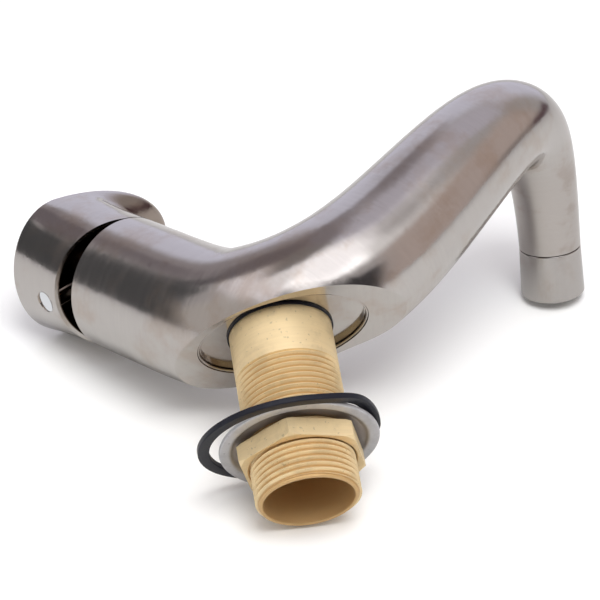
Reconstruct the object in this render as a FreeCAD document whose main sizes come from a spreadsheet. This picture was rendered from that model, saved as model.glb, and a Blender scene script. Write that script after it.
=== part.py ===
"""Basin mixer tap with one lever: a bent tube body, its cartridge, lever cap, spout and clamping set.

Millimetres. The origin is on the shank's axis in the plane of the deck, +Z is up, and the water
leaves towards -Y, where the user stands.
"""
import FreeCAD, Part
import math
import os
import re

import Sketcher

from FreeCAD import Placement, Rotation, Vector

SIZES = [
    ("shank_radius", 16.6, "G1 shank, outside its thread"),
    ("shank_wall", 2.3, "brass left outside the hose way"),
    ("shank_below", 60.0, "shank under the deck plane"),
    ("shank_socket", 7.0, "shank screwed into the body above the recess"),
    ("shank_tail_radius", 15.6, "shank's upper end, above its shoulder"),
    ("shank_chamfer", 0.6, "lead at the shank's lower end"),
    ("fit_gap", 0.06, "radial clearance of threads and turned fits"),
    ("loose_gap", 0.3, "radial clearance of loose pieces"),
    ("recess_depth", 2.4, "oval recess in the base"),
    ("recess_long", 28.6, "half length of the recess"),
    ("recess_short", 19.8, "half width of the recess"),
    ("recess_turn", 160.5, "degrees from +X to the recess's long axis"),
    ("recess_west", 0.6, "recess's centre from the shank's axis, minus X"),
    ("recess_north", 1.6, "recess's centre from the shank's axis, Y"),
    ("recess_step", 1.2, "width of the polished step round the recess floor"),
    ("recess_step_depth", 1.1, "height of that step"),
    ("base_ring_width", 1.5, "black ring round the shank"),
    ("base_ring_height", 0.8, "black ring, along the shank"),
    ("arm_radius", 23.0, "control arm and lever cap"),
    ("arm_turn", -37.0, "degrees from +X to the arm in plan"),
    ("arm_rise", 44.0, "degrees from the deck to the arm"),
    ("arm_straight", 26.0, "straight part of the arm below its rim"),
    ("rim_east", 46.9, "centre of the arm's rim, X"),
    ("rim_south", 30.4, "centre of the arm's rim, minus Y"),
    ("rim_height", 49.0, "centre of the arm's rim, Z"),
    ("outlet_west", 101.1, "centre of the outlet seam, minus X"),
    ("outlet_south", 50.6, "centre of the outlet seam, minus Y"),
    ("outlet_height", 54.0, "centre of the outlet seam, Z"),
    ("outlet_drop", 33.3, "degrees from the deck down to the outlet's axis"),
    ("outlet_radius", 10.7, "spout at the outlet seam"),
    ("lever_turn", 40.0, "degrees about the arm from its highest side to the lever"),
    ("visor_turn", 10.0, "degrees about the arm from the lever's way to the middle of the visor"),
    ("pivot_depth", 7.0, "lift pivot below the arm's rim"),
    ("thread_radius", 19.8, "cartridge nut, outside its thread"),
    ("nut_depth", 13.0, "cartridge shoulder below the arm's rim"),
    ("nut_length", 8.0, "threaded part of the cartridge nut"),
    ("nut_hex_height", 3.6, "hexagon of the cartridge nut"),
    ("nut_hex_radius", 17.4, "cartridge nut across corners, halved"),
    ("cartridge_radius", 17.5, "35 mm cartridge"),
    ("chamber_depth", 41.0, "cartridge seat below the arm's rim"),
    ("neck_radius", 12.0, "neck of the cartridge housing"),
    ("neck_top", 2.4, "top of the neck below the arm's rim"),
    ("housing_wall", 2.1, "wall of the cartridge housing"),
    ("seal_height", 1.0, "port seals under the cartridge"),
    ("base_height", 7.0, "cartridge base"),
    ("disc_height", 3.5, "ceramic discs"),
    ("port_radius", 3.1, "ports through the cartridge"),
    ("port_offset", 8.2, "ports from the cartridge's axis"),
    ("port_back", 3.0, "supply ports below the cartridge's middle line"),
    ("disc_film", 0.02, "film of water between the ceramic discs"),
    ("stem_width", 8.0, "square stem"),
    ("stem_out", 20.0, "stem above the arm's rim"),
    ("ball_depth", 20.0, "ball end of the stem below the arm's rim"),
    ("ball_radius", 2.6, "ball end of the stem"),
    ("pin_radius", 1.5, "lift pivot pin"),
    ("cap_wall", 1.5, "lever cap at its rim"),
    ("cap_height", 33.0, "lever cap above the arm's rim, at its back"),
    ("cap_slope", 5.3, "degrees that the cap's top falls towards the lever"),
    ("cap_cavity", 16.5, "hollow of the cap above the arm's rim"),
    ("visor_start", 7.0, "height at which the lever leaves the round cap"),
    ("visor_full", 34.0, "height at which the lever has its full outline"),
    ("visor_reach", 44.0, "full outline from the arm's axis to the lever's tip"),
    ("visor_width", 24.25, "full outline, half width"),
    ("visor_shift", 4.15, "widest place of the full outline behind the arm's axis"),
    ("gap_front", 0.6, "gap under the cap's rim at the lever"),
    ("gap_middle", 1.4, "height of the rim's bevel on the arm's axis"),
    ("gap_slope", 19.4, "degrees that the rim's bevel rises to the back"),
    ("hub_radius", 8.6, "hub of the cap round the stem"),
    ("hub_drop", 4.2, "lower end of the hub above the arm's rim"),
    ("grub_height", 16.3, "grub screw above the arm's rim"),
    ("grub_radius", 2.5, "M5 grub screw"),
    ("grub_length", 9.0, "grub screw"),
    ("plug_radius", 3.7, "index plug"),
    ("plug_depth", 2.4, "recess of the index plug"),
    ("waterway_share", 0.52, "waterway radius as a share of the spout's"),
    ("inlet_radius", 3.0, "passages from the shank to the cartridge"),
    ("hose_port_radius", 4.6, "M10 hose ports"),
    ("hose_port_depth", 8.0, "thread of the hose ports"),
    ("hose_port_offset", 7.2, "hose ports from the shank's axis"),
    ("spigot_radius", 8.6, "threaded spigot inside the outlet collar"),
    ("spigot_length", 7.0, "spigot"),
    ("collar_length", 18.0, "outlet collar"),
    ("collar_flare", 0.4, "growth of the collar's radius towards its end"),
    ("collar_lip", 0.9, "lip under the aerator"),
    ("collar_lip_height", 1.2, "lip under the aerator, along the axis"),
    ("aerator_gap", 0.12, "aerator inside the collar"),
    ("aerator_seal", 1.5, "seal between spigot and aerator"),
    ("screen_height", 0.6, "inlet screen of the aerator"),
    ("nozzle_pitch", 3.1, "honeycomb cells of the aerator, centre to centre"),
    ("nozzle_radius", 1.4, "honeycomb cells of the aerator, to a corner"),
    ("backnut_flats", 36.4, "backnut across flats"),
    ("backnut_height", 6.1, "backnut"),
    ("backnut_turn", 20.0, "degrees from +X to a corner of the backnut"),
    ("backnut_low", 47.2, "lower face of the backnut below the deck plane"),
    ("washer_low", 40.3, "lower face of the clamping washer below the deck plane"),
    ("washer_radius", 25.3, "steel clamping washer"),
    ("washer_rim", 3.4, "flat rim of the clamping washer"),
    ("washer_sheet", 1.5, "sheet of the clamping washer"),
    ("washer_dish", 1.0, "dish of the clamping washer"),
    ("fibre_radius", 21.3, "fibre washer"),
    ("fibre_sheet", 0.6, "fibre washer"),
    ("rubber_radius", 29.3, "rubber ring"),
    ("rubber_bore", 24.9, "rubber ring"),
    ("rubber_sheet", 1.9, "rubber ring"),
    ("rubber_east", 2.9, "centre of the loose rubber ring, X"),
    ("rubber_north", 1.6, "centre of the loose rubber ring, Y"),
    ("rubber_low", 37.6, "lower face of the rubber ring below the deck plane"),
    ("rubber_tilt", 4.0, "degrees that the loose ring leans"),
    ("rubber_tilt_way", 60.0, "degrees from +X to the ring's lowest side"),
]

# Poles of the body's centreline after the straight arm, with the tube's radius at each.
BODY_POLES = [
    ("foot", 7.8, -4.0, 8.9, 24.7),
    ("heel", -14.8, 9.2, 8.3, 22.6),
    ("rise", -39.4, 5.6, 25.9, 21.9),
    ("shoulder", -73.7, 7.8, 59.7, 18.4),
    ("crown", -94.8, -0.9, 76.9, 14.6),
]
ARM_PULL = 22.1
OUTLET_PULL = 31.0
OUTLET_FLARE = 0.6
BODY_DEGREE = 3
SPOUT_START = 0.42
BODY_SPACING = 6.0
AERATOR_RINGS = 2

doc = FreeCAD.newDocument("basin_mixer_tap")
sheet = doc.addObject("Spreadsheet::Sheet", "Sizes")
for row, (name, value, note) in enumerate(SIZES, start=1):
    sheet.set(f"A{row}", note)
    sheet.set(f"B{row}", str(value))
    sheet.setAlias(f"B{row}", name)
doc.recompute()


def size(name):
    """Value of one cell of the sheet."""
    return float(sheet.get(name))


def bind(thing, prop, formula):
    """Bind a property to a formula of the sheet's names."""
    thing.setExpression(prop, re.sub(r"[a-z][a-z_]+", lambda m: "Sizes." + m.group(0), formula))


def turned(label, outline, place=None):
    """Body turned about its own Z from an outline of (radius, height) formulas."""
    body = doc.addObject("PartDesign::Body", label)
    body.Label = label
    sketch = body.newObject("Sketcher::SketchObject", label + "_outline")
    plane = [o for o in body.Origin.OriginFeatures if o.Role == "XZ_Plane"][0]
    sketch.AttachmentSupport = (plane, "")
    sketch.MapMode = "FlatFace"
    doc.recompute()
    points = [Vector(value_of(r), value_of(z), 0) for r, z in outline]
    count = len(points)
    for i in range(count):
        sketch.addGeometry(Part.LineSegment(points[i], points[(i + 1) % count]), False)
    for i in range(count):
        sketch.addConstraint(Sketcher.Constraint("Coincident", i, 2, (i + 1) % count, 1))
    for i, (r, z) in enumerate(outline):
        for axis, formula, line in (("DistanceX", r, -2), ("DistanceY", z, -1)):
            if formula == "0":
                sketch.addConstraint(Sketcher.Constraint("PointOnObject", i, 1, line))
                continue
            at = sketch.addConstraint(Sketcher.Constraint(axis, i, 1, value_of(formula)))
            bind(sketch, f"Constraints[{at}]", formula)
    turn = body.newObject("PartDesign::Revolution", label + "_turn")
    turn.Profile = sketch
    turn.ReferenceAxis = (sketch, ["V_Axis"])
    turn.Angle = 360
    body.Placement = place or Placement()
    return body


def value_of(formula):
    """Value of a sum and product of the sheet's names, such as 'arm_radius - 2 * cap_wall'."""
    total = 0.0
    for sign, term in re.findall(r"([+-]?)\s*([^+-]+)", formula):
        product = 1.0
        for factor in term.split("*"):
            factor = factor.strip()
            product *= float(factor) if re.fullmatch(r"[\d.]+", factor) else size(factor)
        total += -product if sign == "-" else product
    return total


def cylinder(label, radius, height, place):
    """Cylinder with its base at the placement, along its Z."""
    part = doc.addObject("Part::Cylinder", label)
    bind(part, "Radius", radius)
    bind(part, "Height", height)
    part.Placement = place
    return part


def box(label, length, width, height, place):
    """Box centred on its placement in X and Y, standing on it in Z."""
    part = doc.addObject("Part::Box", label)
    bind(part, "Length", length)
    bind(part, "Width", width)
    bind(part, "Height", height)
    corner = Vector(-value_of(length) / 2, -value_of(width) / 2, 0)
    part.Placement = place.multiply(Placement(corner, Rotation()))
    return part


def rod(label, radius, begin, end, beyond=0.0):
    """Cylinder from one point to another and a little beyond it."""
    way = end - begin
    part = doc.addObject("Part::Cylinder", label)
    bind(part, "Radius", radius)
    part.Height = way.Length + beyond
    part.Placement = frame(begin, way.normalize(), Vector(0, 0, 1))
    return part


def shape(label, solid, place=None):
    """Part whose shape is worked out in code."""
    part = doc.addObject("Part::Feature", label)
    part.Shape = solid
    part.Placement = place or Placement()
    return part


def cut(label, base, *tools):
    """Base less its tools, one after another."""
    for i, tool in enumerate(tools, start=1):
        step = doc.addObject("Part::Cut", label if i == len(tools) else f"{label}_cut_{i}")
        step.Base = base
        step.Tool = tool
        base = step
    return base


def fuse(label, *parts):
    """Parts joined into one solid."""
    whole = doc.addObject("Part::MultiFuse", label)
    whole.Shapes = list(parts)
    whole.Refine = True
    return whole


def frame(origin, z_axis, x_axis):
    """Placement with its Z along z_axis and its X as near x_axis as it can be."""
    return Placement(origin, Rotation(x_axis, z_axis.cross(x_axis), z_axis, "ZXY"))


# Axes of the arm, the lever and the outlet
turn, rise = math.radians(size("arm_turn")), math.radians(size("arm_rise"))
drop, lever = math.radians(size("outlet_drop")), math.radians(size("lever_turn"))
arm = Vector(math.cos(rise) * math.cos(turn), math.cos(rise) * math.sin(turn), math.sin(rise))
uphill = Vector(0, 0, 1) - arm * arm.z
uphill.normalize()
lever_way = uphill * math.cos(lever) + arm.cross(uphill) * math.sin(lever)
lever_side = arm.cross(lever_way)
visor = math.radians(size("visor_turn"))
visor_way = lever_way * math.cos(visor) + lever_side * math.sin(visor)
rim = Vector(size("rim_east"), -size("rim_south"), size("rim_height"))
outlet_way = Vector(0, -math.cos(drop), -math.sin(drop))
outlet = Vector(-size("outlet_west"), -size("outlet_south"), size("outlet_height"))


def on_arm(height, along=0.0, across=0.0):
    """Placement at a height above the arm's rim, X towards the lever."""
    return frame(rim + arm * height + lever_way * along + lever_side * across, arm, lever_way)


def on_outlet(depth):
    """Placement at a depth below the outlet seam, Z along the flow."""
    return frame(outlet + outlet_way * depth, outlet_way, Vector(1, 0, 0))


def upright(height, east=0.0, north=0.0):
    """Placement at a height above the deck plane."""
    return Placement(Vector(east, north, height), Rotation())


# The body: a tube along one line in space, fattest over the deck and thin at the outlet
arm_foot = rim - arm * size("arm_straight")
line_poles = [arm_foot, arm_foot - arm * ARM_PULL]
line_poles += [Vector(x, y, z) for name, x, y, z, r in BODY_POLES]
line_poles += [outlet - outlet_way * OUTLET_PULL, outlet]
radius_poles = [size("arm_radius")] * 2 + [r for name, x, y, z, r in BODY_POLES]
radius_poles += [size("outlet_radius") + OUTLET_FLARE, size("outlet_radius")]
spans = len(line_poles) - BODY_DEGREE
knots = [i / spans for i in range(spans + 1)]
mults = [BODY_DEGREE + 1] + [1] * (spans - 1) + [BODY_DEGREE + 1]
body_line = Part.BSplineCurve()
body_line.buildFromPolesMultsKnots(line_poles, mults, knots, False, BODY_DEGREE)
body_radius = Part.BSplineCurve()
body_radius.buildFromPolesMultsKnots([Vector(r, 0, 0) for r in radius_poles], mults, knots, False, BODY_DEGREE)


def tube(start, share):
    """Tube round the body's line from a share of its length, at a share of its radius."""
    stations = []
    if start == 0:
        steps = round(size("arm_straight") / BODY_SPACING)
        stations += [(rim - arm * size("arm_straight") * i / steps, -arm, size("arm_radius")) for i in range(steps)]
    begin = body_line.length(0, start) if start else 0.0
    reach = body_line.length() - begin
    count = round(reach / BODY_SPACING)
    for i in range(count + 1):
        u = body_line.parameterAtDistance(begin + reach * i / count, 0.0)
        stations.append((body_line.value(u), body_line.tangent(u)[0], body_radius.value(u).x))
    across = Vector(0, 0, 1)
    wires = []
    for centre, ahead, radius in stations:
        across = across - ahead * across.dot(ahead)
        across.normalize()
        ring = Part.makeCircle(radius * share)
        ring.Placement = frame(centre, ahead, across)
        wires.append(Part.Wire(ring))
    return Part.makeLoft(wires, True, False)


body_form = shape("body_form", tube(0.0, 1.0))
deck_cut = box("deck_cut", "8 * arm_radius", "8 * arm_radius", "4 * arm_radius", upright(-4 * size("arm_radius")))


def oval(label, inset, low, high):
    """Oval prism along the recess, drawn in by an inset."""
    ring = doc.addObject("Part::Ellipse", label + "_line")
    bind(ring, "MajorRadius", f"recess_long - {inset}")
    bind(ring, "MinorRadius", f"recess_short - {inset}")
    middle = Vector(-size("recess_west"), size("recess_north"), low)
    ring.Placement = Placement(middle, Rotation(Vector(0, 0, 1), size("recess_turn")))
    prism = doc.addObject("Part::Extrusion", label)
    prism.Base = ring
    prism.Dir = Vector(0, 0, 1)
    prism.LengthFwd = high - low
    prism.Solid = True
    return prism


recess = oval("recess", "0", -1.0, size("recess_depth") - size("recess_step_depth"))
recess_floor = oval("recess_floor", "recess_step", -1.0, size("recess_depth"))
step_low = size("recess_depth") - size("recess_step_depth")
ring_seat = cylinder("ring_seat", "shank_radius + base_ring_width + fit_gap", "recess_step_depth", upright(step_low))
socket_top = size("recess_depth") + size("shank_socket")
socket = cylinder("socket", "shank_tail_radius + fit_gap", "recess_depth + shank_socket + 1", upright(-1.0))
nut_bore = cylinder("nut_bore", "thread_radius + fit_gap", "nut_depth + 1", on_arm(-size("nut_depth")))
chamber = cylinder("chamber", "cartridge_radius + fit_gap", "chamber_depth", on_arm(-size("chamber_depth")))

# Passages: two from the hose ports to the cartridge's seat, one from the seat to the spout
seat = rim - arm * size("chamber_depth")
plan_side = Vector(0, 0, 1).cross(arm)
plan_side.normalize()
passages = []
for name, side in (("hot", 1), ("cold", -1)):
    port = plan_side * (side * size("hose_port_offset")) + Vector(0, 0, socket_top - 0.5)
    port_bore = cylinder(f"{name}_port_bore", "hose_port_radius", "hose_port_depth + 0.5", Placement(port, Rotation()))
    begin = port + Vector(0, 0, size("hose_port_depth") - size("inlet_radius"))
    end = seat + plan_side * (side * size("port_offset")) - uphill * size("port_back") + arm
    passages += [port_bore, rod(f"{name}_passage", "inlet_radius", begin, end)]
mixed_begin = seat + uphill * size("port_offset") + arm
mixed = rod("mixed_passage", "inlet_radius + 1.2", mixed_begin, body_line.value(SPOUT_START), size("inlet_radius"))
waterway = shape("waterway", tube(SPOUT_START, size("waterway_share")))

spigot = cylinder("spigot", "spigot_radius", "spigot_length + 2", on_outlet(-2.0))
spigot_bore = cylinder("spigot_bore", "spigot_radius - 2.6", "spigot_length + 4", on_outlet(-3.0))
body_blank = cut("body_blank", body_form, deck_cut, recess, recess_floor, ring_seat, socket, nut_bore, chamber)
body_with_spigot = fuse("body_with_spigot", body_blank, spigot)
body_casting = cut("body_casting", body_with_spigot, waterway, mixed, spigot_bore, *passages)

# The shank and its black ring
threaded_shank = turned(
    "threaded_shank",
    [
        ("shank_radius - shank_wall", "0"),
        ("shank_radius - shank_chamfer", "0"),
        ("shank_radius", "shank_chamfer"),
        ("shank_radius", "shank_below + recess_depth"),
        ("shank_tail_radius", "shank_below + recess_depth"),
        ("shank_tail_radius", "shank_below + recess_depth + shank_socket"),
        ("shank_radius - shank_wall", "shank_below + recess_depth + shank_socket"),
    ],
    upright(-size("shank_below")),
)
base_ring = turned(
    "base_ring",
    [
        ("shank_radius + fit_gap", "0"),
        ("shank_radius + base_ring_width", "0"),
        ("shank_radius + base_ring_width", "base_ring_height"),
        ("shank_radius + fit_gap", "base_ring_height"),
    ],
    upright(size("recess_depth") - size("base_ring_height")),
)

# The clamping set under the deck, from the nut up
def hexagon(label, flats_radius, height, place):
    """Hexagonal prism of a radius across its corners, halved."""
    part = doc.addObject("Part::Prism", label)
    part.Polygon = 6
    bind(part, "Circumradius", flats_radius)
    bind(part, "Height", height)
    part.Placement = place
    return part


nut_place = Placement(Vector(0, 0, -size("backnut_low")), Rotation(Vector(0, 0, 1), size("backnut_turn")))
nut_blank = hexagon("backnut_blank", "backnut_flats * 0.57735", "backnut_height", nut_place)
nut_round = turned(
    "backnut_round",
    [
        ("shank_radius + fit_gap", "0"),
        ("backnut_flats * 0.5", "0"),
        ("backnut_flats * 0.5 + 3", "1.7"),
        ("backnut_flats * 0.5 + 3", "backnut_height"),
        ("shank_radius + fit_gap", "backnut_height"),
    ],
    upright(-size("backnut_low")),
)
backnut = doc.addObject("Part::Common", "backnut")
backnut.Base = nut_blank
backnut.Tool = nut_round

metal_washer = turned(
    "metal_washer",
    [
        ("shank_radius + loose_gap", "washer_dish"),
        ("washer_radius - washer_rim - washer_dish", "washer_dish"),
        ("washer_radius - washer_rim", "0"),
        ("washer_radius", "0"),
        ("washer_radius", "washer_sheet"),
        ("washer_radius - washer_rim", "washer_sheet"),
        ("washer_radius - washer_rim - washer_dish", "washer_sheet + washer_dish"),
        ("shank_radius + loose_gap", "washer_sheet + washer_dish"),
    ],
    upright(-size("washer_low")),
)
fibre_low = -size("washer_low") + size("washer_sheet") + size("washer_dish")
fibre_washer = turned(
    "fibre_washer",
    [
        ("shank_radius + loose_gap", "0"),
        ("fibre_radius", "0"),
        ("fibre_radius", "fibre_sheet"),
        ("shank_radius + loose_gap", "fibre_sheet"),
    ],
    upright(fibre_low),
)
lean, lean_way = math.radians(size("rubber_tilt")), math.radians(size("rubber_tilt_way"))
rubber_up = Vector(math.sin(lean) * math.cos(lean_way), math.sin(lean) * math.sin(lean_way), math.cos(lean))
rubber_ring = turned(
    "rubber_ring",
    [
        ("rubber_bore", "0"),
        ("rubber_radius", "0"),
        ("rubber_radius", "rubber_sheet"),
        ("rubber_bore", "rubber_sheet"),
    ],
    frame(Vector(size("rubber_east"), size("rubber_north"), -size("rubber_low")), rubber_up, Vector(1, 0, 0)),
)

# The cartridge, from its seals up to its nut
seal_low = -size("chamber_depth")
base_low = seal_low + size("seal_height")
fixed_low = base_low + size("base_height")
moving_low = fixed_low + size("disc_height") + size("disc_film")
carrier_low = moving_low + size("disc_height")
port_places = [
    plan_side * (side * size("port_offset")) - uphill * size("port_back") for side in (1, -1)
]
port_places.append(uphill * size("port_offset"))
port_places = [(place.dot(lever_way), place.dot(lever_side)) for place in port_places]


def ports(label, low, height):
    """Three port drillings along the arm."""
    return [
        cylinder(f"{label}_port_{i}", "port_radius", height, on_arm(low, along, across))
        for i, (along, across) in enumerate(port_places, start=1)
    ]


seals = []
for i, (along, across) in enumerate(port_places, start=1):
    place = on_arm(seal_low, along, across)
    ring = cylinder(f"seal_{i}", "port_radius + 1.3", "seal_height", place)
    hole = cylinder(f"seal_{i}_hole", "port_radius", "seal_height", place)
    seals.append(cut(f"seal_{i}_ring", ring, hole))
port_seals = doc.addObject("Part::Compound", "port_seals")
port_seals.Links = seals

base_blank = cylinder("cartridge_base_blank", "cartridge_radius - housing_wall - fit_gap", "base_height", on_arm(base_low))
cartridge_base = cut("cartridge_base", base_blank, *ports("base", base_low, "base_height"))
fixed_blank = cylinder("fixed_disc_blank", "cartridge_radius - housing_wall - fit_gap", "disc_height", on_arm(fixed_low))
fixed_disc = cut("fixed_disc", fixed_blank, *ports("fixed", fixed_low, "disc_height"))
moving_blank = cylinder("moving_disc_blank", "cartridge_radius - housing_wall - 4", "disc_height", on_arm(moving_low))
moving_hollow = cylinder("moving_disc_hollow", "port_radius + 3", "disc_height - 1.2", on_arm(moving_low, 2.0))
moving_disc = cut("moving_disc", moving_blank, moving_hollow)
carrier_blank = cylinder("disc_carrier_blank", "cartridge_radius - housing_wall - 3.8", "5", on_arm(carrier_low))
carrier_socket = cylinder("disc_carrier_socket", "ball_radius + loose_gap", "5", on_arm(carrier_low + 0.8))
disc_carrier = cut("disc_carrier", carrier_blank, carrier_socket)

cartridge_housing = turned(
    "cartridge_housing",
    [
        ("cartridge_radius - housing_wall", "0"),
        ("cartridge_radius", "0"),
        ("cartridge_radius", "chamber_depth - seal_height - nut_depth"),
        ("neck_radius", "chamber_depth - seal_height - nut_depth"),
        ("neck_radius", "chamber_depth - seal_height - neck_top"),
        ("neck_radius - housing_wall", "chamber_depth - seal_height - neck_top"),
        ("neck_radius - housing_wall", "chamber_depth - seal_height - nut_depth - housing_wall"),
        ("cartridge_radius - housing_wall", "chamber_depth - seal_height - nut_depth - housing_wall"),
    ],
    on_arm(base_low),
)
nut_ring = turned(
    "cartridge_nut_ring",
    [
        ("neck_radius + loose_gap", "0"),
        ("thread_radius", "0"),
        ("thread_radius", "nut_length"),
        ("neck_radius + loose_gap", "nut_length"),
    ],
    on_arm(-size("nut_depth")),
)
nut_hex = hexagon("cartridge_nut_hex", "nut_hex_radius", "nut_hex_height", on_arm(size("nut_length") - size("nut_depth")))
nut_hole = cylinder("cartridge_nut_hole", "neck_radius + loose_gap", "nut_length + nut_hex_height", on_arm(-size("nut_depth")))
cartridge_nut = cut("cartridge_nut", fuse("cartridge_nut_blank", nut_ring, nut_hex), nut_hole)

# The rotor in the housing's neck, with the pin that the stem rocks on
rotor_radius = "neck_radius - housing_wall - fit_gap"
flange_low = -size("nut_depth") - size("housing_wall") - 3.0
rotor_flange = cylinder("rotor_flange", "cartridge_radius - housing_wall - loose_gap", "2.9", on_arm(flange_low))
rotor_neck = cylinder("rotor_neck", rotor_radius, "nut_depth + housing_wall - neck_top + 2", on_arm(flange_low + 1.0))
rotor_slot = box("rotor_slot", "stem_width + 6.4", "stem_width + 1.2", "nut_depth + 20", on_arm(flange_low - 2.0))
pin_place = frame(
    rim - arm * size("pivot_depth") - lever_side * (value_of(rotor_radius) - 0.4), lever_side, lever_way
)
pin_hole = cylinder("pin_hole", "pin_radius + fit_gap", "2 * neck_radius", pin_place)
stem_rotor = cut("stem_rotor", fuse("rotor_blank", rotor_flange, rotor_neck), rotor_slot, pin_hole)
stem_pin = cylinder("stem_pin", "pin_radius", "2 * neck_radius - 2 * housing_wall - 0.8 - 2 * fit_gap", pin_place)

# The stem: square above its eye, a round arm and a ball below
pivot = -size("pivot_depth")
stem_bar = box("stem_bar", "stem_width", "stem_width", "pivot_depth + stem_out", on_arm(pivot))
eye_place = frame(
    rim + arm * pivot - lever_side * (size("stem_width") / 2), lever_side, lever_way
)
stem_eye = cylinder("stem_eye", "stem_width * 0.5", "stem_width", eye_place)
stem_arm = cylinder("stem_arm", "ball_radius - 0.5", "ball_depth - pivot_depth", on_arm(-size("ball_depth")))
stem_ball = doc.addObject("Part::Sphere", "stem_ball")
bind(stem_ball, "Radius", "ball_radius")
stem_ball.Placement = on_arm(-size("ball_depth"))
stem_hole = cylinder("stem_hole", "pin_radius + fit_gap", "2 * neck_radius", pin_place)
stem = cut("stem", fuse("stem_blank", stem_bar, stem_eye, stem_arm, stem_ball), stem_hole)


# The lever cap: a round skirt that grows into an oval lever under a sloping top
def cap_outline(height, width, reach, shift):
    """Closed line of two half ovals: a back one that ends at the arm's radius and a front one of a reach."""
    middle = Vector(-shift, 0, height)
    side, back = Vector(-shift, width, height), Vector(-size("arm_radius"), 0, height)
    if shift:
        back_oval = Part.ArcOfEllipse(Part.Ellipse(side, back, middle), 0, math.pi)
        front_oval = Part.ArcOfEllipse(Part.Ellipse(middle, reach + shift, width), -math.pi / 2, math.pi / 2)
    else:
        other_side, front = Vector(0, -width, height), Vector(reach, 0, height)
        back_oval = Part.Arc(side, back, other_side)
        front_oval = Part.Arc(other_side, front, side)
    return Part.Wire([back_oval.toShape(), front_oval.toShape()])


def on_visor(height):
    """Placement at a height above the arm's rim, X towards the middle of the visor."""
    return frame(rim + arm * height, arm, visor_way)


def leaning(height, along, degrees):
    """Placement whose Z leans from the arm towards the visor, at a place on the visor's middle line."""
    angle = math.radians(degrees)
    z_axis = arm * math.cos(angle) + visor_way * math.sin(angle)
    return frame(rim + arm * height + visor_way * along, z_axis, visor_way * math.cos(angle) - arm * math.sin(angle))


visor_form = Part.makeLoft(
    [
        cap_outline(size("visor_start"), size("arm_radius"), size("arm_radius"), 0),
        cap_outline(size("visor_full"), size("visor_width"), size("visor_reach"), size("visor_shift")),
    ],
    True,
    True,
)
cap_skirt = cylinder("cap_skirt", "arm_radius", "visor_start + 1", on_visor(0))
cap_visor = shape("cap_visor", visor_form, on_visor(0))
top_cut = box(
    "cap_top_cut", "8 * arm_radius", "8 * arm_radius", "2 * arm_radius",
    leaning(size("cap_height"), -size("arm_radius"), size("cap_slope")),
)
cap_blank = cut("cap_blank", fuse("cap_form", cap_skirt, cap_visor), top_cut)
cap_hollow = cylinder("cap_hollow", "arm_radius - cap_wall", "cap_cavity + 1", on_arm(-1.0))
hub = cylinder("cap_hub", "hub_radius", "cap_cavity - hub_drop + 1", on_arm(size("hub_drop")))
boss_place = frame(
    rim + arm * size("grub_height") - lever_way * (size("arm_radius") - size("cap_wall") * 0.5), lever_way, arm
)
grub_boss = cylinder("cap_grub_boss", "grub_radius + 2.4", "arm_radius - hub_radius", boss_place)
bevel_place = leaning(size("gap_middle"), 0, size("gap_slope"))
bevel_cut = box(
    "cap_bevel_cut", "4 * arm_radius", "4 * arm_radius", "arm_radius",
    bevel_place.multiply(Placement(Vector(0, 0, -size("arm_radius")), Rotation())),
)
rim_cut = cylinder("cap_rim_cut", "2 * arm_radius", "gap_front + 1", on_arm(-1.0))
socket_cut = box("cap_socket", "stem_width + 0.2", "stem_width + 0.2", "stem_out + 0.3", on_arm(0))
grub_place = frame(rim + arm * size("grub_height") - lever_way * (size("arm_radius") + 1), lever_way, arm)
grub_hole = cylinder("cap_grub_hole", "grub_radius + fit_gap", "arm_radius + 1", grub_place)
plug_hole = cylinder("cap_plug_hole", "plug_radius + fit_gap", "plug_depth + 1", grub_place)
cap_chamber = cut("cap_chamber", cap_hollow, hub, grub_boss)
handle_cap = cut("handle_cap", cap_blank, cap_chamber, bevel_cut, rim_cut, socket_cut, grub_hole, plug_hole)

plug_place = frame(
    rim + arm * size("grub_height") - lever_way * (size("arm_radius") - 0.4), lever_way, arm
)
index_plug = cylinder("index_plug", "plug_radius", "plug_depth - 0.4", plug_place)
screw_place = frame(
    rim + arm * size("grub_height") - lever_way * (size("stem_width") / 2 + 0.1 + size("grub_length")), lever_way, arm
)
screw_body = cylinder("grub_screw_body", "grub_radius", "grub_length", screw_place)
screw_socket = hexagon("grub_screw_socket", "1.44", "3", screw_place)
grub_screw = cut("grub_screw", screw_body, screw_socket)

# The outlet: a collar that holds the seal and the aerator against the spigot
nozzle_collar = turned(
    "nozzle_collar",
    [
        ("spigot_radius + fit_gap", "0.15"),
        ("outlet_radius", "0.15"),
        ("outlet_radius + collar_flare", "collar_length - 0.6"),
        ("outlet_radius + collar_flare - 0.6", "collar_length"),
        ("spigot_radius - collar_lip", "collar_length"),
        ("spigot_radius - collar_lip", "collar_length - collar_lip_height"),
        ("spigot_radius + fit_gap", "collar_length - collar_lip_height"),
    ],
    on_outlet(0),
)
aerator_washer = turned(
    "aerator_washer",
    [
        ("spigot_radius - 2.6", "0"),
        ("spigot_radius - aerator_gap", "0"),
        ("spigot_radius - aerator_gap", "aerator_seal"),
        ("spigot_radius - 2.6", "aerator_seal"),
    ],
    on_outlet(size("spigot_length")),
)
screen_low = size("spigot_length") + size("aerator_seal")
screen_blank = cylinder("aerator_screen_blank", "spigot_radius - aerator_gap", "screen_height", on_outlet(screen_low))
body_low = screen_low + size("screen_height")
aerator_length = "collar_length - collar_lip_height - spigot_length - aerator_seal - screen_height"
aerator_blank = cylinder("aerator_blank", "spigot_radius - aerator_gap", aerator_length, on_outlet(body_low))


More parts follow.
